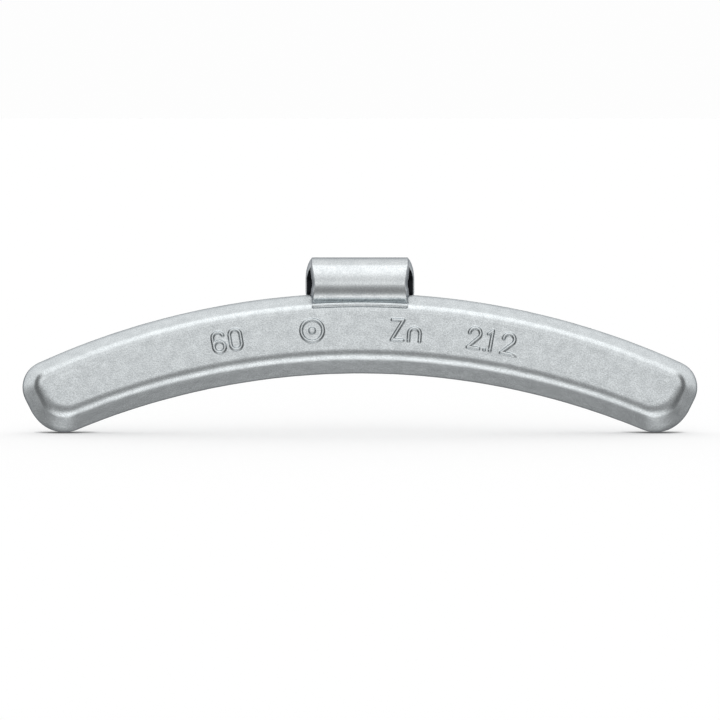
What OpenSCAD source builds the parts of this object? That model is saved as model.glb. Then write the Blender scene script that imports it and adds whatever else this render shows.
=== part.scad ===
// A clip-on wheel balance weight: a curved zinc casting with a bent spring-steel clip cast into it.
// X runs along the weight, the lettered front faces -Y, and the rim flange lies behind the flat back.
// The origin is under the middle of the weight, at the height of its two lowest points.

/* [Body outline] */
// Radius of the body's outer edge
outer_r = 143.5; // [125:0.5:165]
// Radius of the body's inner edge
inner_r = 136.5; // [132:0.5:160]
// Height of the body at mid length, from the inner edge to the outer edge
body_h = 14.95; // [13.5:0.05:18]
// Length of the body from end to end, measured on its largest outline
body_l = 124.8; // [95:0.1:145]
// Radius of the outline's outer corners
outer_corner_r = 5; // [4:0.1:5.5]
// Radius of the outline's inner corners
inner_corner_r = 6.5; // [4.5:0.1:7]

/* [Body section] */
// Thickness from the flat back to the flat front face
body_t = 5.75; // [5.2:0.1:8]
// Distance from the outer edge to the flat face
outer_inset = 3.05; // [2.8:0.05:4]
// Distance from the inner edge to the flat face
inner_inset = 5; // [4:0.05:5.8]
// Distance from each end to the flat face
end_inset = 4.8; // [3:0.1:6]
// Radius that blends the outer wall into the face
outer_blend_r = 1.9; // [1.2:0.1:2.4]
// Radius that blends the inner wall into the face
inner_blend_r = 2.9; // [1.5:0.1:3.6]
// Radius that blends the end walls into the face
end_blend_r = 3; // [1.2:0.1:3.6]
// Angle between the outer wall and the face
outer_wall_angle = 60; // [45:1:62]
// Angle between the inner wall and the face
inner_wall_angle = 55; // [45:1:57]
// Angle between each end wall and the face
end_wall_angle = 50; // [42:1:56]
// Radius of the face's outer corners
face_outer_corner_r = 1; // [0.6:0.1:2]
// Radius of the face's inner corners
face_inner_corner_r = 4; // [1:0.1:4.4]
// Radius of the rounding behind the outer edge, which seats under the rim flange's curl
rim_curl_r = 9; // [7:0.1:12]
// How far that rounding has come forward where it meets the outer edge
rim_curl_t = 1.6; // [1:0.1:2]
// Radius of the back's other edges
back_edge_r = 0.4; // [0.2:0.05:0.8]

/* [Raised marks] */
// Height of the marks over the face
mark_h = 0.3; // [0.15:0.05:0.5]
// Width of their strokes
stroke_w = 0.58; // [0.4:0.02:0.7]
// Height of a capital letter or a digit
letter_h = 4.4; // [3.6:0.1:5]
// Width of a capital letter or a digit
letter_w = 2.75; // [2:0.05:3.2]
// Height of a small letter
small_letter_h = 3.1; // [2.4:0.1:3.5]
// Distance from one letter's middle to the next
letter_pitch = 3.15; // [2.9:0.05:4]
// Distance from the outer edge to the middle of the marks
mark_depth = 6.35; // [6:0.05:7.2]
// Diameter of the round mark
round_mark_d = 4.6; // [3:0.1:5]
// Diameter of the pip in the round mark
pip_d = 1.3; // [0.8:0.1:2]
// Angle from mid length to the middle of the weight in grams
grams_angle = 10.25; // [8:0.05:14]
// Angle from mid length to the round mark
round_mark_angle = 3.67; // [3:0.01:5]
// Angle from mid length to the middle of the metal's symbol
symbol_angle = 3.55; // [3:0.05:5]
// Angle from mid length to the middle of the weight in ounces
ounces_angle = 10.15; // [8:0.05:14]

/* [Clip] */
// Thickness of the steel strip
strip_t = 1.6; // [1.2:0.05:2]
// Radius inside the hook
hook_r = 3.1; // [2.8:0.05:3.6]
// Height of the hook's centre over the body's outer edge
hook_rise = 1.9; // [1.6:0.05:3]
// How far the hook stands in front of the face
hook_proud = 0.5; // [0.3:0.05:1]
// Angle below level to which the hook's front runs on before it turns into the body
front_wrap = 42; // [36:1:50]
// Radius of the turn into the body
neck_r = 0.8; // [0.5:0.05:1.2]
// How far the back of the hook reaches below the hook's centre
hook_drop = 2.6; // [1:0.1:4]
// Width of the clip at its front
clip_front_w = 17; // [12:0.1:20]
// Width of the clip at its back
clip_back_w = 20.2; // [14:0.1:24]
// Length of the root that is cast into the body
root_h = 7.4; // [6:0.1:8]
// Diameter of the two holes in the root, which the zinc fills
lock_hole_d = 3.2; // [2:0.1:4]
// Distance between those holes
lock_hole_pitch = 9; // [6:0.1:10]

/* [Collar] */
// Height of the cast bead under the clip's neck
collar_h = 0.8; // [0.6:0.05:1]
// Distance from the outer edge to the top of that bead
collar_depth = 1.45; // [1.2:0.05:2]
// How far the bead stands in front of the face
collar_proud = 0.25; // [0.1:0.05:0.4]
// Radius of the bead's front edges
collar_edge_r = 0.3; // [0.1:0.05:0.3]
// How much further the bead reaches than the clip's front, at each side
collar_side = 0.35; // [0.2:0.05:1]

/* [Hidden] */
$fn = 64;

// Numbers of steps along the outline and through the thickness
edge_steps = 12;
corner_steps = 6;
curl_steps = 4;
wall_steps = 3;
blend_steps = 7;
// Number of steps along each arc of a letter
bow_steps = 8;
// Facets in a full turn of a long, gentle arc
long_arc_fn = 360;
// Number of steps across the wedge that cuts a bend out of its ring
wedge_steps = 8;
// Overshoot of a cut past the surface that it opens
over = 1;
// Share of the curl's inset that the outer corner's radius gives up
corner_share = 0.6;

// Angle from mid length to each end, at which the outer corners reach half the body's length
half_angle = asin((body_l / 2 - outer_corner_r) / (outer_r - outer_corner_r))
    + asin(outer_corner_r / (outer_r - outer_corner_r));
// The outer edge's centre is the working origin, and the inner edge's centre lies this far under it
centre_drop = inner_r - (outer_r - body_h);
hook_outer_r = hook_r + strip_t;
// Depths are measured forwards from the flat back
hook_depth = body_t + hook_proud - hook_outer_r;
hook_z = outer_r + hook_rise;
neck_depth = hook_depth + (hook_outer_r + neck_r) * cos(front_wrap);
neck_z = hook_z - (hook_outer_r + neck_r) * sin(front_wrap);
root_front = neck_depth - neck_r;
front_depth = hook_depth + hook_outer_r;
back_depth = hook_depth - hook_outer_r;
side_slope = (clip_back_w - clip_front_w) / 2 / (front_depth - back_depth);
mark_r = outer_r - mark_depth;

// Depth that a wall and its blend take from the face to a given distance outwards
function blend_depth(r, wall) = r * (1 - cos(wall));

// How far the outline has drawn in at a depth under the face, where the widest outline ends a short wall
function front_inset(under, inset, r, wall) =
    max(0, under <= blend_depth(r, wall)
        ? inset - sqrt(2 * r * under - under * under)
        : inset - r * sin(wall) - (under - blend_depth(r, wall)) / tan(wall));

// How far a rounded back edge has drawn in at a depth over the back
function back_inset(depth, r, reach) =
    depth >= reach ? 0 : sqrt(2 * r * reach - reach * reach) - sqrt(2 * r * depth - depth * depth);

// Points on an arc whose bearings run clockwise from straight up, without the first
function arc(centre, r, from, to, steps) =
    [for (k = [1:steps]) let (t = from + (to - from) * k / steps) centre + r * [sin(t), cos(t)]];

// Centre of a corner that lies along the end line and square to it from the working origin
function on_end(along, across) =
    along * [sin(half_angle), cos(half_angle)] + across * [-cos(half_angle), sin(half_angle)];

function outer_corner(edge_r, across, r) =
    on_end(sqrt(pow(edge_r - r, 2) - across * across), across);

function inner_corner(edge_r, across, r) =
    let (lean = centre_drop * cos(half_angle),
         rest = across * across + centre_drop * centre_drop + 2 * centre_drop * across * sin(half_angle))
    on_end(sqrt(lean * lean - rest + pow(edge_r + r, 2)) - lean, across);

// Right half of the outline, from the top of the outer edge round the end to the inner edge
function half_outline(from_outer, from_inner, from_end, outer_cr, inner_cr) =
    let (outer = outer_r - from_outer,
         inner = inner_r + from_inner,
         low = [0, -centre_drop],
         oc = outer_corner(outer, from_end + outer_cr, outer_cr),
         ic = inner_corner(inner, from_end + inner_cr, inner_cr),
         outer_turn = atan2(oc.x, oc.y),
         inner_turn = atan2(ic.x, ic.y - low.y),
         end_turn = half_angle + 90)
    concat([[0, outer]],
           arc([0, 0], outer, 0, outer_turn, edge_steps),
           arc(oc, outer_cr, outer_turn, end_turn, corner_steps),
           [ic + inner_cr * [sin(end_turn), cos(end_turn)]],
           arc(ic, inner_cr, end_turn, inner_turn + 180, corner_steps),
           arc(low, inner, inner_turn, 0, edge_steps));

// The whole outline, clockwise as seen from the front
function outline(half) =
    concat(half, [for (k = [len(half) - 2:-1:1]) [-half[k].x, half[k].y]]);

// The body's outline at a depth over the back, as points of a level
function level(depth) =
    let (under = body_t - depth,
         outer = front_inset(under, outer_inset, outer_blend_r, outer_wall_angle),
         inner = front_inset(under, inner_inset, inner_blend_r, inner_wall_angle),
         end = front_inset(under, end_inset, end_blend_r, end_wall_angle),
         curl = back_inset(depth, rim_curl_r, rim_curl_t),
         edge = back_inset(depth, back_edge_r, back_edge_r),
         outer_share = (outer / outer_inset + end / end_inset) / 2,
         inner_share = (inner / inner_inset + end / end_inset) / 2,
         outer_cr = outer_corner_r - (outer_corner_r - face_outer_corner_r) * outer_share,
         inner_cr = inner_corner_r - (inner_corner_r - face_inner_corner_r) * inner_share)
    [for (p = outline(half_outline(outer + curl, inner + edge, end + edge,
                                   outer_cr - corner_share * curl, inner_cr)))
        [p.x, p.y, depth]];

// Depths of the levels, closer together where the section curves
blend_start = body_t - max(blend_depth(outer_blend_r, outer_wall_angle),
                           blend_depth(inner_blend_r, inner_wall_angle),
                           blend_depth(end_blend_r, end_wall_angle));
depths = concat(
    [for (k = [0:curl_steps]) rim_curl_t * pow(k / curl_steps, 2)],
    [for (k = [1:wall_steps - 1]) rim_curl_t + (blend_start - rim_curl_t) * k / wall_steps],
    [for (k = [0:blend_steps]) body_t - (body_t - blend_start) * pow(1 - k / blend_steps, 2)]);

lowest = min([for (d = depths) each [for (p = level(d)) p.y]]);

// Brings the working frame to the part's own frame
module place() {
    translate([0, (front_depth + back_depth) / 2, -lowest]) children();
}

// Turns a shape drawn flat, with its height as depth over the back, to stand upright
module upright() {
    rotate([90, 0, 0]) children();
}

// The casting before its face is cut flat: its last level is the face's outline, lifted clear of the face
module rough_casting() {
    face = level(body_t);
    levels = concat([for (d = depths) level(d)], [[for (p = face) p + [0, 0, over]]]);
    n = len(levels[0]);
    last = len(levels) - 1;
    points = [for (ring = levels) each ring];
    sides = [for (i = [0:last - 1], j = [0:n - 1]) let (k = (j + 1) % n)
        each [[i * n + k, (i + 1) * n + k, (i + 1) * n + j], [i * n + k, (i + 1) * n + j, i * n + j]]];
    back = [for (j = [n - 1:-1:0]) j];
    front = [for (j = [0:n - 1]) last * n + j];
    polyhedron(points, concat(sides, [back, front]), convexity = 6);
}

module casting() {
    difference() {
        rough_casting();
        translate([-outer_r, 0, body_t]) cube([2 * outer_r, outer_r + over, 2 * over]);
    }
}

// Letters and digits are drawn about their middles as plain outlines
half_w = letter_w / 2;
half_h = letter_h / 2;
// Height of the middle of a letter's upper bowl
bowl_z = half_h - half_w;
// Radius inside a bowl
eye_r = half_w - stroke_w;
// Level width of a stroke that leans from one corner of a letter to the other
lean_w = stroke_w * norm([letter_w, letter_h]) / letter_h;

// Points on an arc, counter-clockwise where the second angle is the larger
function bow(centre, r, from, to) =
    [for (k = [0:bow_steps]) let (t = from + (to - from) * k / bow_steps) centre + r * [cos(t), sin(t)]];

// A slot with round ends that stands upright
function upright_slot(r) = concat(bow([0, bowl_z], r, 0, 180), bow([0, -bowl_z], r, 180, 360));

module zero() {
    difference() {
        polygon(upright_slot(half_w));
        polygon(upright_slot(eye_r));
    }
}

module six() {
    loop = [0, -bowl_z];
    // Angles above level of the open stroke's tip and of the loop's shoulder, each about its own bowl
    tip = 12;
    shoulder = 25;
    difference() {
        polygon(upright_slot(half_w));
        translate(loop) circle(eye_r);
        polygon(concat(bow([0, bowl_z], eye_r, tip, 180),
                       bow(loop, half_w, 180 - acos(eye_r / half_w), shoulder),
                       [[letter_w, loop.y + half_w * sin(shoulder)], [letter_w, bowl_z + eye_r * sin(tip)]]));
    }
}

module one() {
    flag = half_w / 2;
    bar = stroke_w / 2;
    polygon([[-bar, -half_h], [bar, -half_h], [bar, half_h], [-bar, half_h], [-bar - flag, half_h - flag],
             [-bar - flag, half_h - flag - lean_w], [-bar, half_h - lean_w]]);
}

module two() {
    bowl = [0, bowl_z];
    // Angle below level at which the bowl runs out into the leaning stroke
    turn = 40;
    side = [cos(turn), -sin(turn)];
    heel = [-half_w, stroke_w - half_h];
    inner = bowl + eye_r * side;
    outer = bowl + half_w * side;
    drop = (outer.y - heel.y) / (inner.y - heel.y);
    polygon(concat([[-half_w, -half_h], [half_w, -half_h], [half_w, heel.y], outer + drop * (heel - inner)],
                   bow(bowl, half_w, -turn, 180), bow(bowl, eye_r, 180, -turn), [heel]));
}

// A decimal point, half way between the digit to its left and the narrow digit whose place it shares
module point() {
    bar = stroke_w / 2;
    translate([(half_w - bar - letter_pitch) / 2, bar - half_h]) square(stroke_w, center = true);
}

module letter_z() {
    half = [[half_w, half_h], [-half_w, half_h], [-half_w, half_h - stroke_w],
            [half_w - lean_w, half_h - stroke_w], [-half_w, stroke_w - half_h]];
    polygon(concat(half, -half));
}

module letter_n() {
    arch = [0, small_letter_h - half_h - half_w];
    polygon(concat(bow(arch, half_w, 0, 180), [[-half_w, -half_h], [-eye_r, -half_h]],
                   bow(arch, eye_r, 180, 0), [[eye_r, -half_h], [half_w, -half_h]]));
}

module round_mark() {
    difference() {
        circle(d = round_mark_d);
        circle(d = round_mark_d - 2 * stroke_w);
    }
    circle(d = pip_d);
}

// Stands a flat mark on the face, turned about the outer edge's centre
module on_face(bearing) {
    rotate(-bearing) translate([0, mark_r, body_t - over]) linear_extrude(over + mark_h) children();
}

// Angle between the middles of neighbouring letters
letter_step = 2 * asin(letter_pitch / 2 / mark_r);

module marks() {
    on_face(-grams_angle - letter_step / 2) six();
    on_face(-grams_angle + letter_step / 2) zero();
    on_face(-round_mark_angle) round_mark();
    on_face(symbol_angle - letter_step / 2) letter_z();
    on_face(symbol_angle + letter_step / 2) letter_n();
    on_face(ounces_angle - letter_step) two();
    on_face(ounces_angle) point();
    on_face(ounces_angle) one();
    on_face(ounces_angle + letter_step) two();
}

// Outline of the collar bead, with its depth up the page and its front corners rounded
module collar_profile(width) {
    top = body_t + collar_proud;
    // The bead starts inside the clip's root, which is cut out of it afterwards
    base = root_front - strip_t / 2;
    square_w = width - 2 * collar_edge_r;
    translate([-width / 2, base]) square([width, top - collar_edge_r - base]);
    translate([-square_w / 2, base]) square([square_w, top - base]);
    for (side = [-1, 1]) translate([side * square_w / 2, top - collar_edge_r]) circle(collar_edge_r);
}

module collar() {
    bead_r = outer_r - collar_depth - collar_h / 2;
    reach = asin((clip_front_w / 2 + collar_side - collar_h / 2) / bead_r);
    rotate(90 - reach) rotate_extrude(angle = 2 * reach, $fn = long_arc_fn)
        translate([bead_r, 0]) collar_profile(collar_h);
    for (side = [-1, 1]) rotate(side * reach) translate([0, bead_r, 0]) rotate_extrude() intersection() {
        collar_profile(collar_h);
        square([collar_h, body_t + over]);
    }
}

// A bent stretch of strip about a centre, counter-clockwise between two angles
module bend(centre, r, from, to) {
    wedge_r = 2 * (r + strip_t);
    translate(centre) intersection() {
        difference() {
            circle(r + strip_t);
            circle(r);
        }
        polygon(concat([[0, 0]], [for (k = [0:wedge_steps])
            let (t = from + (to - from) * k / wedge_steps) wedge_r * [cos(t), sin(t)]]));
    }
}

// The strip's side view: Y across the page, Z up it
module clip_section() {
    hook = [-hook_depth, hook_z];
    bend(hook, hook_r, 0, 180 + front_wrap);
    translate([hook.x + hook_r, hook_z - hook_drop + strip_t / 2])
        square([strip_t, hook_drop - strip_t / 2]);
    translate([hook.x + hook_r + strip_t / 2, hook_z - hook_drop + strip_t / 2]) circle(d = strip_t);
    bend([-neck_depth, neck_z], neck_r, 0, front_wrap);
    translate([-root_front, neck_z - root_h]) square([strip_t, root_h]);
}

// Plan of the clip, whose sides spread towards the back
module clip_plan() {
    front_w = clip_front_w / 2 - side_slope * over;
    back_w = clip_back_w / 2 + side_slope * over;
    front_y = -front_depth - over;
    back_y = -back_depth + over;
    polygon([[-front_w, front_y], [front_w, front_y], [back_w, back_y], [-back_w, back_y]]);
}

module strip() {
    height = hook_outer_r + hook_rise + root_h + body_h;
    difference() {
        intersection() {
            rotate([90, 0, 90]) linear_extrude(clip_back_w + 2 * over, center = true) clip_section();
            translate([0, 0, hook_z + hook_outer_r + over - height]) linear_extrude(height) clip_plan();
        }
        for (side = [-1, 1])
            translate([side * lock_hole_pitch / 2, over - root_front + strip_t, neck_z - root_h / 2])
                rotate([90, 0, 0]) cylinder(d = lock_hole_d, h = strip_t + 2 * over);
    }
}

module weight_body() {
    color([0.80, 0.82, 0.83]) place() difference() {
        upright() {
            casting();
            marks();
            collar();
        }
        strip();
    }
}

module rim_clip() {
    color([0.70, 0.72, 0.74]) place() strip();
}

weight_body();
rim_clip();
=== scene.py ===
import math

import bpy
import numpy as np
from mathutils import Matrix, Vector, noise


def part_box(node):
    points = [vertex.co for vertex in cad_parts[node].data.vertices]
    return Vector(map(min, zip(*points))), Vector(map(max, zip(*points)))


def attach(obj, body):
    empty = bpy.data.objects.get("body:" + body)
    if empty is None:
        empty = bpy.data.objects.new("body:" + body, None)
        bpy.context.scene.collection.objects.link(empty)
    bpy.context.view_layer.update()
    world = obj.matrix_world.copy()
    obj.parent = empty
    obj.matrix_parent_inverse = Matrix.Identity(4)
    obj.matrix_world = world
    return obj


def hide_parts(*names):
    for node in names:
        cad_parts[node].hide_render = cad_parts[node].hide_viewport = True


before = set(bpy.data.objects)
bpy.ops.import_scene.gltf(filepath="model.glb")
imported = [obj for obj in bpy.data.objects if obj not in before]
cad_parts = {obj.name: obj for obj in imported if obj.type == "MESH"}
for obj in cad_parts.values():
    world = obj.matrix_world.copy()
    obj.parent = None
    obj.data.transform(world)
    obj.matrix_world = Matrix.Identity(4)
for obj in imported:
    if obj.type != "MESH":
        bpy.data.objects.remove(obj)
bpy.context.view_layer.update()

MM = 0.001

# Body outline and section, as in the solids
OUTER_R = 143.5 * MM
INNER_R = 136.5 * MM
BODY_H = 14.95 * MM
BODY_L = 124.8 * MM
OUTER_CORNER_R = 5 * MM
INNER_CORNER_R = 6.5 * MM
BODY_T = 5.75 * MM
OUTER_INSET = 3.05 * MM
INNER_INSET = 5 * MM
END_INSET = 4.8 * MM
OUTER_BLEND_R = 1.9 * MM
INNER_BLEND_R = 2.9 * MM
END_BLEND_R = 3 * MM
OUTER_WALL = math.radians(60)
INNER_WALL = math.radians(55)
END_WALL = math.radians(50)
FACE_OUTER_CORNER_R = 1 * MM
FACE_INNER_CORNER_R = 4 * MM
RIM_CURL_R = 9 * MM
RIM_CURL_T = 1.6 * MM
BACK_EDGE_R = 0.4 * MM
# Share of the curl's inset that the outer corner's radius gives up
CORNER_SHARE = 0.6

# Raised marks
MARK_H = 0.36 * MM
STROKE_W = 0.58 * MM
LETTER_H = 4.4 * MM
LETTER_W = 2.75 * MM
SMALL_LETTER_H = 3.1 * MM
LETTER_PITCH = 3.15 * MM
MARK_DEPTH = 6.35 * MM
ROUND_MARK_D = 4.6 * MM
PIP_D = 1.3 * MM
GRAMS_ANGLE = math.radians(-10.25)
ROUND_MARK_ANGLE = math.radians(-3.67)
SYMBOL_ANGLE = math.radians(3.55)
OUNCES_ANGLE = math.radians(10.15)
# Half widths of a stroke at its top and at its foot
STROKE_TOP = 0.1 * MM
STROKE_FOOT = 0.4 * MM
# How far a stroke's middle line lies inside its letter's outline, as a share of its foot's half width
LINE_INSET = 0.9
# Angles at which the 6 and the bow of the 2 end, above and below level
SIX_TIP = 22
TWO_TURN = 40

# Clip
STRIP_T = 1.6 * MM
HOOK_R = 3.1 * MM
HOOK_RISE = 1.9 * MM
HOOK_PROUD = 0.5 * MM
FRONT_WRAP = math.radians(42)
NECK_R = 0.8 * MM
HOOK_DROP = 2.6 * MM
ROOT_H = 7.4 * MM
# Half width of the strip at depths over the body's back, and at its root
WIDTH_DEPTHS = tuple(d * MM for d in (-3.15, -2.5, -2.0, -1.2, -0.6, 0, 1.0, 3.7, 4.7, 5.2, 6.05, 6.25))
HALF_WIDTHS = tuple(w * MM for w in (10.1, 9.9, 9.7, 9.42, 9.24, 9.05, 8.9, 8.84, 8.8, 8.72, 8.5, 8.32))
ROOT_HALF_W = 8.5 * MM
STRIP_EDGE_R = 0.16 * MM
# Most of the strip's half thickness that a round edge takes, where the strip thins to its tip
EDGE_LIMIT = 0.98
# How near to the inner side a point lies, as a share of the half thickness, to count as on it
INNER_LIMIT = 0.999
# How much wider the strip's inner side is than its outer side at the front, and narrower at the back
FRONT_SLANT = 0.45 * MM
BACK_SLANT = 0.1 * MM

# Bead of zinc under the clip's neck
COLLAR_H = 0.8 * MM
COLLAR_DEPTH = 1.45 * MM
COLLAR_PROUD = 0.25 * MM
COLLAR_EDGE_R = 0.3 * MM
COLLAR_HALF_W = 8.85 * MM
# How far its foot is sunk into the face, and its least half height, at its ends
COLLAR_SUNK = 1.2 * MM
COLLAR_TIP = 0.02 * MM

# Degrees between the body's columns, and the bearings between which the marks need fine ones
COARSE_STEP = 0.25
FINE_STEP = 0.034
FINE_SPANS = [(2.0, 5.2), (8.0, 12.4)]
# Steps of the meshes: the body's face, corners, curl, wall and blend, the bead, and the strip's tip, rise,
# hook, neck, root, width and edges
FACE_ROWS = 80
CORNER_STEPS = 14
CURL_STEPS = 8
WALL_STEPS = 4
BLEND_STEPS = 14
BEAD_STEPS = 120
TIP_STEPS = 12
RISE_STEPS = 8
HOOK_STEPS = 96
NECK_STEPS = 12
ROOT_STEPS = 4
ACROSS_STEPS = 30
EDGE_STEPS = 5

# Photograph: its width in pixels, the size of a pixel where the outline is, and the pixel of the origin
PHOTO_PX = 720
PIXEL = 0.185 * MM
ORIGIN_PX = (359.9, 432.4)
OUTLINE_DEPTH = 0.75 * MM
CAMERA_DISTANCE = 0.8
CAMERA_ELEVATION = math.radians(3.75)
SENSOR_W = 36.0

half_angle = (math.asin((BODY_L / 2 - OUTER_CORNER_R) / (OUTER_R - OUTER_CORNER_R))
              + math.asin(OUTER_CORNER_R / (OUTER_R - OUTER_CORNER_R)))
centre_drop = INNER_R - (OUTER_R - BODY_H)
hook_outer_r = HOOK_R + STRIP_T
hook_depth = BODY_T + HOOK_PROUD - hook_outer_r
hook_up = OUTER_R + HOOK_RISE
clip_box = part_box("rim_clip")
# Height of the part's origin in the working frame, whose own origin is the outer edge's centre
floor_up = hook_up + hook_outer_r - clip_box[1][2]
mark_r = OUTER_R - MARK_DEPTH


def to_part(points):
    """Working points (along, up, depth forwards from the flat back) in the part's frame."""
    points = np.asarray(points, dtype=float)
    return np.stack([points[..., 0], hook_depth - points[..., 2], points[..., 1] - floor_up], axis=-1)


def add_piece(name, points, faces, node, material):
    """A smooth mesh that takes the place of a solid, or of a part of it."""
    mesh = bpy.data.meshes.new(name)
    mesh.from_pydata([tuple(p) for p in points], [], faces)
    mesh.validate()
    mesh.update()
    for polygon in mesh.polygons:
        polygon.use_smooth = True
    piece = bpy.data.objects.new(name, mesh)
    bpy.context.scene.collection.objects.link(piece)
    piece.data.materials.append(material)
    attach(piece, "root")
    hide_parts(node)
    return piece


def tube_faces(rings, size):
    """Faces round a tube, with both ends closed. They point outward where each ring of points runs
    anticlockwise as seen from the next."""
    faces = []
    for k in range(rings - 1):
        for i in range(size):
            j = (i + 1) % size
            faces.append((k * size + i, k * size + j, (k + 1) * size + j, (k + 1) * size + i))
    faces.append(tuple(reversed(range(size))))
    faces.append(tuple((rings - 1) * size + i for i in range(size)))
    return faces


# Cast body

def blend_depth(r, wall):
    """How deep under the face a blend reaches, to where it meets its wall."""
    return r * (1 - math.cos(wall))


def front_inset(under, inset, r, wall):
    """How far the outline has drawn in at a depth under the face."""
    if under <= blend_depth(r, wall):
        return max(0.0, inset - math.sqrt(max(0.0, 2 * r * under - under * under)))
    return max(0.0, inset - r * math.sin(wall) - (under - blend_depth(r, wall)) / math.tan(wall))


def back_inset(depth, r, reach):
    """How far a rounded back edge has drawn in at a depth over the back."""
    if depth >= reach:
        return 0.0
    return math.sqrt(2 * r * reach - reach * reach) - math.sqrt(2 * r * depth - depth * depth)


def on_end(along, across):
    """A point by its place along the line of the body's end and its distance inside that line."""
    return np.array([along * math.sin(half_angle) - across * math.cos(half_angle),
                     along * math.cos(half_angle) + across * math.sin(half_angle)])


def outer_corner(edge_r, across, r):
    """Centre of the round corner between the outer edge and the end."""
    return on_end(math.sqrt((edge_r - r) ** 2 - across ** 2), across)


def inner_corner(edge_r, across, r):
    """Centre of the round corner between the inner edge and the end."""
    lean = centre_drop * math.cos(half_angle)
    rest = across ** 2 + centre_drop ** 2 + 2 * centre_drop * across * math.sin(half_angle)
    return on_end(math.sqrt(lean ** 2 - rest + (edge_r + r) ** 2) - lean, across)


def arc(centre, r, angles):
    """Points at bearings that run clockwise from straight up."""
    return np.asarray(centre) + r * np.stack([np.sin(angles), np.cos(angles)], axis=-1)


def level_insets(depth):
    """How far the outer edge, the inner edge and the ends have drawn in at a depth."""
    under = BODY_T - depth
    outer = front_inset(under, OUTER_INSET, OUTER_BLEND_R, OUTER_WALL)
    inner = front_inset(under, INNER_INSET, INNER_BLEND_R, INNER_WALL)
    end = front_inset(under, END_INSET, END_BLEND_R, END_WALL)
    return outer, inner, end


def chains(depth, shares):
    """The outer and the inner edge of a level, each from the left end to the right, with as many points."""
    outer, inner, end = level_insets(depth)
    curl = back_inset(depth, RIM_CURL_R, RIM_CURL_T)
    edge = back_inset(depth, BACK_EDGE_R, BACK_EDGE_R)
    outer_share = (outer / OUTER_INSET + end / END_INSET) / 2
    inner_share = (inner / INNER_INSET + end / END_INSET) / 2
    outer_cr = OUTER_CORNER_R - (OUTER_CORNER_R - FACE_OUTER_CORNER_R) * outer_share - CORNER_SHARE * curl
    inner_cr = INNER_CORNER_R - (INNER_CORNER_R - FACE_INNER_CORNER_R) * inner_share
    outer_edge = OUTER_R - outer - curl
    inner_edge = INNER_R + inner + edge
    low = np.array([0.0, -centre_drop])
    oc = outer_corner(outer_edge, end + edge + outer_cr, outer_cr)
    ic = inner_corner(inner_edge, end + edge + inner_cr, inner_cr)
    outer_turn = math.atan2(oc[0], oc[1])
    inner_turn = math.atan2(ic[0], ic[1] - low[1])
    end_turn = half_angle + math.pi / 2
    steps = np.arange(1, CORNER_STEPS + 1) / CORNER_STEPS
    right_outer = np.concatenate([arc([0, 0], outer_edge, shares * outer_turn),
                                  arc(oc, outer_cr, outer_turn + (end_turn - outer_turn) * steps)])
    right_inner = np.concatenate([arc(low, inner_edge, shares * inner_turn),
                                  arc(ic, inner_cr, inner_turn + math.pi
                                      + (end_turn - inner_turn - math.pi) * steps)])
    mirror = np.array([-1, 1])
    return [np.concatenate([(half[1:] * mirror)[::-1], half]) for half in (right_outer, right_inner)]


def column_shares():
    """Shares of the way from mid length to the corner, closer together where the marks are."""
    outer, _, end = level_insets(BODY_T)
    corner = outer_corner(OUTER_R - outer, end + FACE_OUTER_CORNER_R, FACE_OUTER_CORNER_R)
    turn = math.degrees(math.atan2(corner[0], corner[1]))
    stops = [0.0] + [b for span in FINE_SPANS for b in span] + [turn]
    shares = [0.0]
    for index, (start, stop) in enumerate(zip(stops, stops[1:])):
        count = math.ceil((stop - start) / (FINE_STEP if index % 2 else COARSE_STEP))
        shares += [(start + (stop - start) * (k + 1) / count) / turn for k in range(count)]
    return np.array(shares)


def level_depths():
    """Depths of the body's levels, close together in the curl and the blend, where the outline turns most."""
    start = BODY_T - max(blend_depth(OUTER_BLEND_R, OUTER_WALL), blend_depth(INNER_BLEND_R, INNER_WALL),
                         blend_depth(END_BLEND_R, END_WALL))
    curl = [RIM_CURL_T * (k / CURL_STEPS) ** 2 for k in range(CURL_STEPS + 1)]
    wall = [RIM_CURL_T + (start - RIM_CURL_T) * k / WALL_STEPS for k in range(1, WALL_STEPS)]
    blend = [BODY_T - (BODY_T - start) * (1 - k / BLEND_STEPS) ** 2 for k in range(BLEND_STEPS + 1)]
    return curl + wall + blend


def ladder(outer, inner, rows):
    """A grid of points between two chains, by column and row."""
    shares = (np.arange(rows + 1) / rows)[None, :, None]
    return outer[:, None, :] * (1 - shares) + inner[:, None, :] * shares


def rim_indices(columns, rows):
    """Indices of a grid's rim: along the outer edge, down the right end and back along the inner edge."""
    top = [c * (rows + 1) for c in range(columns)]
    right = [(columns - 1) * (rows + 1) + r for r in range(1, rows + 1)]
    bottom = [c * (rows + 1) + rows for c in range(columns - 2, -1, -1)]
    left = [r for r in range(rows - 1, 0, -1)]
    return top + right + bottom + left


# Raised marks: each stroke gives every point's distance from its middle line

half_w = LETTER_W / 2
half_h = LETTER_H / 2
bowl_up = half_h - half_w
line_inset = LINE_INSET * STROKE_FOOT
line_w = half_w - line_inset
line_h = half_h - line_inset
line_r = line_w


def stroke(points, start, stop):
    start, stop = np.array(start), np.array(stop)
    way = stop - start
    share = np.clip(((points - start) @ way) / (way @ way), 0, 1)
    return np.linalg.norm(points - start - share[:, None] * way, axis=1)


def bow(points, centre, r, start=0.0, stop=360.0):
    """Distance from an arc that runs counter-clockwise from one angle above level to another."""
    centre = np.array(centre)
    off = points - centre
    angle = np.degrees(np.arctan2(off[:, 1], off[:, 0]))
    inside = (angle - start) % 360 <= stop - start
    ends = [centre + r * np.array([math.cos(a), math.sin(a)]) for a in np.radians([start, stop])]
    to_ends = np.min([np.linalg.norm(points - e, axis=1) for e in ends], axis=0)
    return np.where(inside, np.abs(np.linalg.norm(off, axis=1) - r), to_ends)


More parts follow.
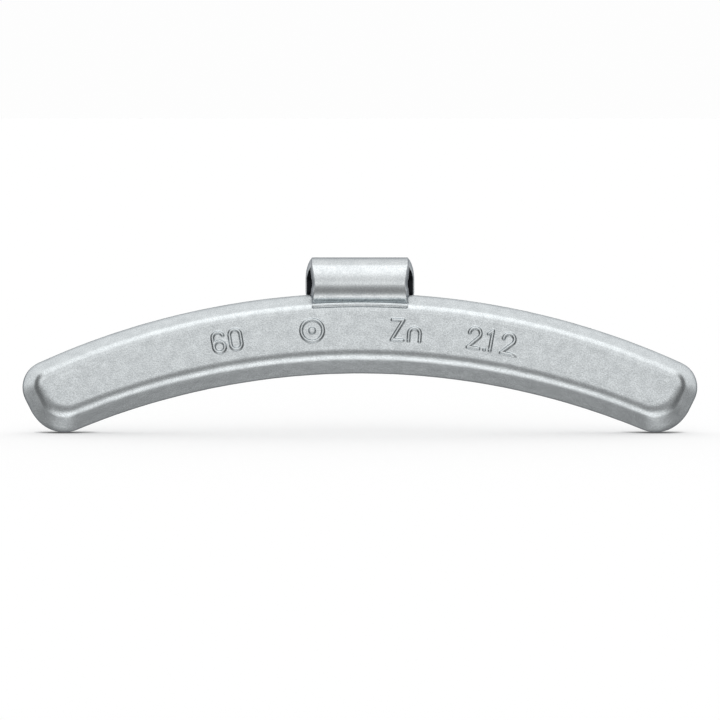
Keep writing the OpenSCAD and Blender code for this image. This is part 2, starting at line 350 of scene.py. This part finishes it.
def zero(points):
    return np.min([bow(points, (0, bowl_up), line_r, 0, 180), bow(points, (0, -bowl_up), line_r, 180, 360),
                   stroke(points, (-line_w, -bowl_up), (-line_w, bowl_up)),
                   stroke(points, (line_w, -bowl_up), (line_w, bowl_up))], axis=0)


def six(points):
    return np.min([bow(points, (0, bowl_up), line_r, SIX_TIP, 180), bow(points, (0, -bowl_up), line_r),
                   stroke(points, (-line_w, -bowl_up), (-line_w, bowl_up))], axis=0)


def one(points):
    flag = half_w / 2
    return np.minimum(stroke(points, (0, -line_h), (0, line_h)),
                      stroke(points, (0, line_h), (-flag, line_h - flag)))


def two(points):
    turn = math.radians(TWO_TURN)
    side = (line_r * math.cos(turn), bowl_up - line_r * math.sin(turn))
    return np.min([bow(points, (0, bowl_up), line_r, -TWO_TURN, 180),
                   stroke(points, side, (-line_w, -line_h)),
                   stroke(points, (-line_w, -line_h), (line_w, -line_h))], axis=0)


def decimal_point(points):
    along = (half_w - STROKE_W / 2 - LETTER_PITCH) / 2
    return np.linalg.norm(points - np.array([along, -line_h]), axis=1)


def letter_z(points):
    return np.min([stroke(points, (-line_w, line_h), (line_w, line_h)),
                   stroke(points, (line_w, line_h), (-line_w, -line_h)),
                   stroke(points, (-line_w, -line_h), (line_w, -line_h))], axis=0)


def letter_n(points):
    arch_up = SMALL_LETTER_H - half_h - half_w
    return np.min([bow(points, (0, arch_up), line_r, 0, 180),
                   stroke(points, (-line_w, arch_up), (-line_w, -line_h)),
                   stroke(points, (line_w, arch_up), (line_w, -line_h))], axis=0)


def round_mark(points):
    ring = bow(points, (0, 0), (ROUND_MARK_D - STROKE_W) / 2)
    pip = np.maximum(np.linalg.norm(points, axis=1) - (PIP_D - STROKE_W) / 2, 0)
    return np.minimum(ring, pip)


letter_step = 2 * math.asin(LETTER_PITCH / 2 / mark_r)
MARKS = [
    (six, GRAMS_ANGLE - letter_step / 2),
    (zero, GRAMS_ANGLE + letter_step / 2),
    (round_mark, ROUND_MARK_ANGLE),
    (letter_z, SYMBOL_ANGLE - letter_step / 2),
    (letter_n, SYMBOL_ANGLE + letter_step / 2),
    (two, OUNCES_ANGLE - letter_step),
    (decimal_point, OUNCES_ANGLE),
    (one, OUNCES_ANGLE),
    (two, OUNCES_ANGLE + letter_step),
]


def mark_height(points):
    """Height of the marks over the face at flat points."""
    nearest = np.full(len(points), STROKE_FOOT)
    for shape, bearing in MARKS:
        turned = points @ np.array([[math.cos(bearing), math.sin(bearing)],
                                    [-math.sin(bearing), math.cos(bearing)]])
        nearest = np.minimum(nearest, shape(turned - np.array([0, mark_r])))
    slope = np.clip((STROKE_FOOT - nearest) / (STROKE_FOOT - STROKE_TOP), 0, 1)
    return MARK_H * slope * slope * (3 - 2 * slope)


# Unevenness of the casting: its depth and the length of its waves
WAVE_DEPTH = 0.035 * MM
WAVE_L = 2.2 * MM


def roughen(piece):
    """Sinks each point by a little, so that the casting's highlights waver as they do on real zinc."""
    mesh = piece.data
    count = len(mesh.vertices)
    places = np.empty(count * 3)
    normals = np.empty(count * 3)
    mesh.vertices.foreach_get("co", places)
    mesh.vertices.foreach_get("normal", normals)
    places = places.reshape(-1, 3)
    normals = normals.reshape(-1, 3)
    wave = np.array([noise.noise(Vector(p)) for p in places / WAVE_L])
    sunk = places - normals * (WAVE_DEPTH * (0.5 + 0.5 * wave))[:, None]
    mesh.vertices.foreach_set("co", sunk.ravel())
    mesh.update()


def weight_body(material):
    """The casting: rings of points from back to face, a grid over the face, and faces across the back."""
    shares = column_shares()
    depths = level_depths()
    levels = [chains(depth, shares) for depth in depths]
    columns = len(levels[0][0])
    rim = rim_indices(columns, FACE_ROWS)
    size = len(rim)
    points = []
    for depth, (outer, inner) in zip(depths[:-1], levels[:-1]):
        flat = ladder(outer, inner, FACE_ROWS).reshape(-1, 2)[rim]
        points.append(np.column_stack([flat, np.full(size, depth)]))
    flat = ladder(*levels[-1], FACE_ROWS).reshape(-1, 2)
    face_start = size * len(points)
    points.append(np.column_stack([flat, BODY_T + mark_height(flat)]))
    rings = [[k * size + i for i in range(size)] for k in range(len(depths) - 1)]
    rings.append([face_start + i for i in rim])
    faces = []
    for below, above in zip(rings, rings[1:]):
        faces += [(below[i], below[i - 1], above[i - 1], above[i]) for i in range(size)]
    stride = FACE_ROWS + 1
    for c in range(columns - 1):
        base = face_start + c * stride
        faces += [(base + r, base + r + 1, base + stride + r + 1, base + stride + r)
                  for r in range(FACE_ROWS)]
    back = rings[0]
    right, left = columns - 1, 2 * (columns - 1) + FACE_ROWS
    for c in range(1, columns - 2):
        faces.append((back[c], back[c + 1], back[left - c - 1], back[left - c]))
    faces.append(tuple(back[i] for i in range(right - 1, right + FACE_ROWS + 2)))
    faces.append(tuple(back[i % size] for i in range(left - 1, size + 2)))
    piece = add_piece("cast_body", to_part(np.concatenate(points)), faces, "weight_body", material)
    roughen(piece)
    return piece


# Bead under the clip's neck

def neck_bead(material):
    """A low bar with round edges that follows the body's arc and sinks into its face."""
    middle_r = OUTER_R - COLLAR_DEPTH - COLLAR_H / 2
    reach = math.asin(COLLAR_HALF_W / middle_r)
    end_r = COLLAR_H / 2
    base = BODY_T - COLLAR_SUNK
    top = BODY_T + COLLAR_PROUD
    corner = [math.radians(a) for a in range(0, 91, 15)]
    points = []
    for k in range(BEAD_STEPS + 1):
        away = (2 * k / BEAD_STEPS - 1) * COLLAR_HALF_W
        from_end = COLLAR_HALF_W - abs(away)
        round_off = end_r - math.sqrt(max(0.0, end_r ** 2 - max(0.0, end_r - from_end) ** 2))
        half = max(COLLAR_H / 2 - round_off, COLLAR_TIP)
        edge = min(COLLAR_EDGE_R, half)
        lift = top - edge
        section = [(-half, base)]
        section += [(-half + edge - edge * math.cos(a), lift + edge * math.sin(a)) for a in corner]
        section += [(half - edge + edge * math.sin(a), lift + edge * math.cos(a)) for a in corner]
        section += [(half, base)]
        bearing = away / COLLAR_HALF_W * reach
        for up, depth in section:
            r = middle_r + up
            points.append((r * math.sin(bearing), r * math.cos(bearing), depth))
    size = len(points) // (BEAD_STEPS + 1)
    faces = [face[::-1] for face in tube_faces(BEAD_STEPS + 1, size)]
    return add_piece("neck_bead", to_part(points), faces, "weight_body", material)


# Bent strip

def strip_stations():
    """Middle line of the strip from the hook's tip to the root's end: place, outward way, half thickness, and
    the share of the way from the hook's width to the root's."""
    mid_r = HOOK_R + STRIP_T / 2
    half_t = STRIP_T / 2
    tip = hook_up - HOOK_DROP
    stations = []
    for k in range(1, TIP_STEPS + 1):
        a = math.pi / 2 * k / TIP_STEPS
        up = tip + half_t * (1 - math.cos(a))
        stations.append(((hook_depth - mid_r, up), (-1, 0), half_t * math.sin(a), 0))
    for k in range(1, RISE_STEPS + 1):
        up = tip + half_t + (HOOK_DROP - half_t) * k / RISE_STEPS
        stations.append(((hook_depth - mid_r, up), (-1, 0), half_t, 0))
    for k in range(1, HOOK_STEPS + 1):
        a = (math.pi + FRONT_WRAP) * k / HOOK_STEPS
        way = (-math.cos(a), math.sin(a))
        stations.append(((hook_depth + mid_r * way[0], hook_up + mid_r * way[1]), way, half_t, 0))
    neck_depth = hook_depth + (hook_outer_r + NECK_R) * math.cos(FRONT_WRAP)
    neck_up = hook_up - (hook_outer_r + NECK_R) * math.sin(FRONT_WRAP)
    neck_r = NECK_R + half_t
    for k in range(1, NECK_STEPS + 1):
        a = FRONT_WRAP * (1 - k / NECK_STEPS)
        way = (math.cos(a), -math.sin(a))
        place = (neck_depth - neck_r * way[0], neck_up - neck_r * way[1])
        stations.append((place, way, half_t, k / NECK_STEPS))
    for k in range(1, ROOT_STEPS + 1):
        stations.append(((neck_depth - neck_r, neck_up - ROOT_H * k / ROOT_STEPS), (1, 0), half_t, 1))
    return stations


def half_width(depth, rooted):
    """Half width of the strip at a depth over the body's back."""
    return (1 - rooted) * np.interp(depth, WIDTH_DEPTHS, HALF_WIDTHS) + rooted * ROOT_HALF_W


def strip_section(place, way, half_t, rooted):
    """Points round the strip at a station, across and outward, with round edges and slanted sides."""
    edge = min(STRIP_EDGE_R, half_t * EDGE_LIMIT)
    corner = [math.pi / 2 * k / EDGE_STEPS for k in range(EDGE_STEPS + 1)]
    slant = (1 - rooted) * way[0] * (FRONT_SLANT if way[0] > 0 else BACK_SLANT) * half_t / (STRIP_T / 2)
    outer = half_width(place[0] + way[0] * half_t, rooted) - edge
    inner = outer + slant
    outline = [(outer - 2 * outer * k / ACROSS_STEPS, half_t) for k in range(ACROSS_STEPS)]
    outline += [(-outer - edge * math.sin(a), half_t - edge + edge * math.cos(a)) for a in corner]
    outline += [(-inner - edge * math.cos(a), -half_t + edge - edge * math.sin(a)) for a in corner]
    outline += [(-inner + 2 * inner * k / ACROSS_STEPS, -half_t) for k in range(1, ACROSS_STEPS)]
    outline += [(inner + edge * math.sin(a), -half_t + edge - edge * math.cos(a)) for a in corner]
    outline += [(outer + edge * math.cos(a), half_t - edge + edge * math.sin(a)) for a in corner[:-1]]
    return outline


def rim_clip(material):
    """The bent strip, whose points on the gripping side carry a mark for the near-black painted shade inside
    the hook.
    """
    points, inner_side = [], []
    stations = strip_stations()
    for place, way, half_t, rooted in stations:
        for across, out in strip_section(place, way, half_t, rooted):
            points.append((across, place[1] + way[1] * out, place[0] + way[0] * out))
            inner_side.append(1.0 if out < -INNER_LIMIT * half_t else 0.0)
    faces = tube_faces(len(stations), len(points) // len(stations))
    piece = add_piece("bent_clip", to_part(points), faces, "rim_clip", material)
    # The mark says where the gripping side is painted near black, as painted shade inside the hook.
    painted_shade = piece.data.attributes.new("inner_side", "FLOAT", "POINT")
    painted_shade.data.foreach_set("value", inner_side)
    return piece


# Materials

# Share of the reflection that is left near grazing, which draws the thin dark line along the metal's outline
GRAZING_TINT = (0.33, 0.34, 0.36, 1)
BLACK = (0, 0, 0)
WHITE = (1, 1, 1)
NOISE_ROUGHNESS = 0.55
# How many times longer and deeper than the grain the broad waves are, and how many times finer the pits
BROAD_TIMES = 8
BROAD_DEPTH = 4
PIT_GRAIN = 1.2
# Shares of the grain and the broad waves in the tone, and the stretches of it that colour and gloss follow
FINE_SHARE = 0.6
BROAD_SHARE = 0.4
TONE_STOPS = (0.38, 0.62)
ROUGH_STOPS = (0.35, 0.65)
# How far a pit's slope reaches to either side of its share, and how dark its bottom is
PIT_EDGE = (0.1, 0.06)
PIT_TONE = 0.84
# Strengths of the bumps
BROAD_BUMP = 0.35
FINE_BUMP = 0.5
PIT_BUMP = 0.35


def new_tree(owner):
    """The empty node tree of a material or a world."""
    owner.use_nodes = True
    owner.node_tree.nodes.clear()
    return owner.node_tree


def add_node(tree, kind, **values):
    node = tree.nodes.new(kind)
    for name, value in values.items():
        setattr(node, name, value)
    return node


def feed(tree, socket, value):
    """Sets a socket to a constant, or links it to another node's output."""
    if isinstance(value, bpy.types.NodeSocket):
        tree.links.new(value, socket)
    else:
        socket.default_value = value


def math_node(tree, operation, first, second=0.0):
    node = add_node(tree, "ShaderNodeMath", operation=operation)
    feed(tree, node.inputs[0], first)
    feed(tree, node.inputs[1], second)
    return node.outputs[0]


def noise_node(tree, place, scale, detail):
    node = add_node(tree, "ShaderNodeTexNoise")
    tree.links.new(place, node.inputs["Vector"])
    node.inputs["Scale"].default_value = scale
    node.inputs["Detail"].default_value = detail
    node.inputs["Roughness"].default_value = NOISE_ROUGHNESS
    return node.outputs["Fac"]


def ramp_node(tree, value, stops):
    node = add_node(tree, "ShaderNodeValToRGB")
    tree.links.new(value, node.inputs["Fac"])
    elements = node.color_ramp.elements
    while len(elements) < len(stops):
        elements.new(0.5)
    for element, (place, colour) in zip(elements, stops):
        element.position = place
        element.color = (*colour, 1)
    return node.outputs["Color"]


def bump_node(tree, height, distance, strength, below=None):
    node = add_node(tree, "ShaderNodeBump")
    node.inputs["Distance"].default_value = distance
    node.inputs["Strength"].default_value = strength
    tree.links.new(height, node.inputs["Height"])
    if below is not None:
        tree.links.new(below, node.inputs["Normal"])
    return node.outputs["Normal"]


def mix_colour(tree, factor, first, second):
    node = add_node(tree, "ShaderNodeMix", data_type="RGBA")
    for name, value in (("Factor", factor), ("A", first), ("B", second)):
        feed(tree, node.inputs[name], value)
    return node.outputs["Result"]


def surface_of(tree, kind, shader):
    """Ends a tree with its output node."""
    tree.links.new(shader, add_node(tree, kind).inputs["Surface"])


def dark_of(colour):
    """The colour at the bottom of a pit."""
    return tuple(PIT_TONE * value for value in colour)


def metal(name, dark, light, roughness, grain, depth, speck_share, painted_shade=None):
    """A grey metal with fine grain, uneven tone and small dark pits, and near-black painted shade on its
    marked side.
    """
    material = bpy.data.materials.new(name)
    tree = new_tree(material)
    place = add_node(tree, "ShaderNodeTexCoord").outputs["Object"]
    shader = add_node(tree, "ShaderNodeBsdfPrincipled")
    shader.inputs["Metallic"].default_value = 1.0
    shader.inputs["Specular Tint"].default_value = GRAZING_TINT
    fine = noise_node(tree, place, grain, 2)
    broad = noise_node(tree, place, grain / BROAD_TIMES, 3)
    pits = noise_node(tree, place, grain * PIT_GRAIN, 2)
    fine_part = math_node(tree, "MULTIPLY", fine, FINE_SHARE)
    broad_part = math_node(tree, "MULTIPLY", broad, BROAD_SHARE)
    tone = math_node(tree, "ADD", fine_part, broad_part)
    colour = ramp_node(tree, tone, list(zip(TONE_STOPS, (dark, light))))
    pit = ramp_node(tree, pits, [(speck_share - PIT_EDGE[0], BLACK), (speck_share + PIT_EDGE[1], WHITE)])
    pitted = mix_colour(tree, pit, ramp_node(tree, fine, [(0, dark_of(dark)), (1, dark_of(light))]), colour)
    # The marked side takes a near-black colour: painted shade, in place of the shade inside the clip's hook.
    if painted_shade is not None:
        side = add_node(tree, "ShaderNodeAttribute", attribute_name="inner_side").outputs["Fac"]
        pitted = mix_colour(tree, side, pitted, painted_shade)
    tree.links.new(pitted, shader.inputs["Base Color"])
    low, high = roughness
    rough = ramp_node(tree, tone, list(zip(ROUGH_STOPS, ((high,) * 3, (low,) * 3))))
    tree.links.new(rough, shader.inputs["Roughness"])
    normal = bump_node(tree, broad, BROAD_DEPTH * depth, BROAD_BUMP)
    normal = bump_node(tree, fine, depth, FINE_BUMP, normal)
    normal = bump_node(tree, pit, depth, PIT_BUMP, normal)
    tree.links.new(normal, shader.inputs["Normal"])
    surface_of(tree, "ShaderNodeOutputMaterial", shader.outputs[0])
    return material


def cast_zinc():
    """Fine-grained die-cast zinc with a dull shine."""
    return metal("cast_zinc", (0.62, 0.655, 0.67), (0.78, 0.82, 0.835), (0.2, 0.27), 4000, 0.03 * MM, 0.34)


def clip_steel():
    """Satin steel whose gripping side is painted near black, as painted shade inside the hook."""
    # The last colour is near-black painted shade for the gripping side.
    return metal("clip_steel", (0.61, 0.64, 0.655), (0.75, 0.78, 0.79), (0.16, 0.23), 3200, 0.015 * MM, 0.3,
                 painted_shade=(0.012, 0.013, 0.015, 1))


# Studio

# Brightness of the white backdrop
BACKDROP = 0.985
# Brightness of the studio at each 15 degrees of elevation, from straight down to straight up. Behind the part
# it is the white backdrop from the horizon up
FRONT_LEVELS = (1.2, 1.3, 1.1, 0.4, 0.3, 0.45, 1.03, 0.84, 0.95, 1.24, 1.34, 1.38, 1.38)
SIDE_LEVELS = (1.2, 1.1, 0.8, 0.22, 0.17, 0.16, 0.18, 0.2, 0.3, 0.9, 1.2, 1.36, 1.38)
BACK_LEVELS = (1.1, 0.6, 0.3, 0.32, 0.42, 0.5) + 7 * (BACKDROP,)
# Where back gives way to side and side to front, on a scale from -1 behind the part to 1 before it
SIDE_ZONE = (-0.34, 0.17)
FRONT_ZONE = (0.5, 0.87)
# A little over 1, so that nothing is divided by zero straight up and straight down
JUST_OVER_ONE = 1.0001


def elevation_ramp(tree, share, levels):
    return ramp_node(tree, share, [(k / (len(levels) - 1), (level,) * 3) for k, level in enumerate(levels)])


def smooth_range(tree, value, low, high):
    node = add_node(tree, "ShaderNodeMapRange", interpolation_type="SMOOTHSTEP")
    tree.links.new(value, node.inputs["Value"])
    node.inputs["From Min"].default_value = low
    node.inputs["From Max"].default_value = high
    return node.outputs["Result"]


def seen_through(tree):
    """1 for a ray from the camera, straight or through glass."""
    path = add_node(tree, "ShaderNodeLightPath")
    return math_node(tree, "MAXIMUM", path.outputs["Is Camera Ray"], path.outputs["Is Transmission Ray"])


def background(tree, colour):
    node = add_node(tree, "ShaderNodeBackground")
    feed(tree, node.inputs["Color"], colour)
    return node.outputs[0]


def studio_world():
    """White backdrop behind, soft panels in front, at the sides and below, and plain white to the camera."""
    world = bpy.data.worlds.new("studio")
    bpy.context.scene.world = world
    tree = new_tree(world)
    way = add_node(tree, "ShaderNodeSeparateXYZ")
    tree.links.new(add_node(tree, "ShaderNodeTexCoord").outputs["Generated"], way.inputs[0])
    height = way.outputs["Z"]
    rest = math_node(tree, "SUBTRACT", JUST_OVER_ONE, math_node(tree, "MULTIPLY", height, height))
    level_way = math_node(tree, "SQRT", rest)
    frontness = math_node(tree, "DIVIDE", math_node(tree, "MULTIPLY", way.outputs["Y"], -1.0), level_way)
    turn = math_node(tree, "DIVIDE", math_node(tree, "ARCSINE", height), math.pi)
    share = math_node(tree, "ADD", turn, 0.5)
    front, side, back = (elevation_ramp(tree, share, levels)
                         for levels in (FRONT_LEVELS, SIDE_LEVELS, BACK_LEVELS))
    around = mix_colour(tree, smooth_range(tree, frontness, *SIDE_ZONE), back, side)
    light = mix_colour(tree, smooth_range(tree, frontness, *FRONT_ZONE), around, front)
    choose = add_node(tree, "ShaderNodeMixShader")
    tree.links.new(seen_through(tree), choose.inputs["Fac"])
    tree.links.new(background(tree, light), choose.inputs[1])
    tree.links.new(background(tree, (BACKDROP, BACKDROP, BACKDROP, 1)), choose.inputs[2])
    surface_of(tree, "ShaderNodeOutputWorld", choose.outputs[0])


# How far from the part the floor's colour darkens in a painted contact shadow, and how fast
CONTACT_REACH = 2.2 * MM
CONTACT_POWER = 1.5
# What the camera sees of the floor beyond the light that falls on it
FLOOR_GLOW = 0.45
CONTACT_SAMPLES = 8
# The floor's tone where the part touches it, darkest in its painted contact shadow, and away from the part,
# and half its width in metres
FLOOR_TONES = (0.02, 0.7)
FLOOR_HALF_W = 6.0


def floor():
    """A pale floor that keeps the part's shadow, and whose colour also darkens near the part in a painted
    contact shadow, brought up to white for the camera alone.
    """
    material = bpy.data.materials.new("floor")
    tree = new_tree(material)
    surface = add_node(tree, "ShaderNodeBsdfDiffuse")
    # Ambient occlusion darkens the floor's colour near the part: a painted contact shadow, which the camera's
    # glow carries too.
    contact = add_node(tree, "ShaderNodeAmbientOcclusion", samples=CONTACT_SAMPLES)
    contact.inputs["Distance"].default_value = CONTACT_REACH
    shade = math_node(tree, "POWER", contact.outputs["AO"], CONTACT_POWER)
    tone_with_painted_shadow = ramp_node(tree, shade, [(k, (tone,) * 3) for k, tone in enumerate(FLOOR_TONES)])
    tree.links.new(tone_with_painted_shadow, surface.inputs["Color"])
    glow = add_node(tree, "ShaderNodeEmission")
    tree.links.new(tone_with_painted_shadow, glow.inputs["Color"])
    tree.links.new(math_node(tree, "MULTIPLY", seen_through(tree), FLOOR_GLOW), glow.inputs["Strength"])
    both = add_node(tree, "ShaderNodeAddShader")
    tree.links.new(surface.outputs[0], both.inputs[0])
    tree.links.new(glow.outputs[0], both.inputs[1])
    surface_of(tree, "ShaderNodeOutputMaterial", both.outputs[0])
    mesh = bpy.data.meshes.new("floor")
    half = FLOOR_HALF_W
    corners = [(-half, -half, 0), (half, -half, 0), (half, half, 0), (-half, half, 0)]
    mesh.from_pydata(corners, [], [(0, 1, 2, 3)])
    ground = bpy.data.objects.new("floor", mesh)
    ground.data.materials.append(material)
    bpy.context.scene.collection.objects.link(ground)
    ground.visible_glossy = False


def camera():
    """At the photograph's angle, aimed at the middle of its frame."""
    centre = Vector(((PHOTO_PX / 2 - ORIGIN_PX[0]) * PIXEL, hook_depth - OUTLINE_DEPTH,
                     (ORIGIN_PX[1] - PHOTO_PX / 2) * PIXEL))
    away = Vector((0, -math.cos(CAMERA_ELEVATION), math.sin(CAMERA_ELEVATION))) * CAMERA_DISTANCE
    data = bpy.data.cameras.new("camera")
    data.sensor_width = SENSOR_W
    data.lens = SENSOR_W * CAMERA_DISTANCE / (PHOTO_PX * PIXEL)
    view = bpy.data.objects.new("camera", data)
    view.location = centre + away
    view.rotation_euler = (-away).to_track_quat("-Z", "Y").to_euler()
    bpy.context.scene.collection.objects.link(view)
    bpy.context.scene.camera = view


camera()
zinc = cast_zinc()
weight_body(zinc)
neck_bead(zinc)
rim_clip(clip_steel())
studio_world()
floor()
bpy.context.scene.view_settings.view_transform = "Standard"
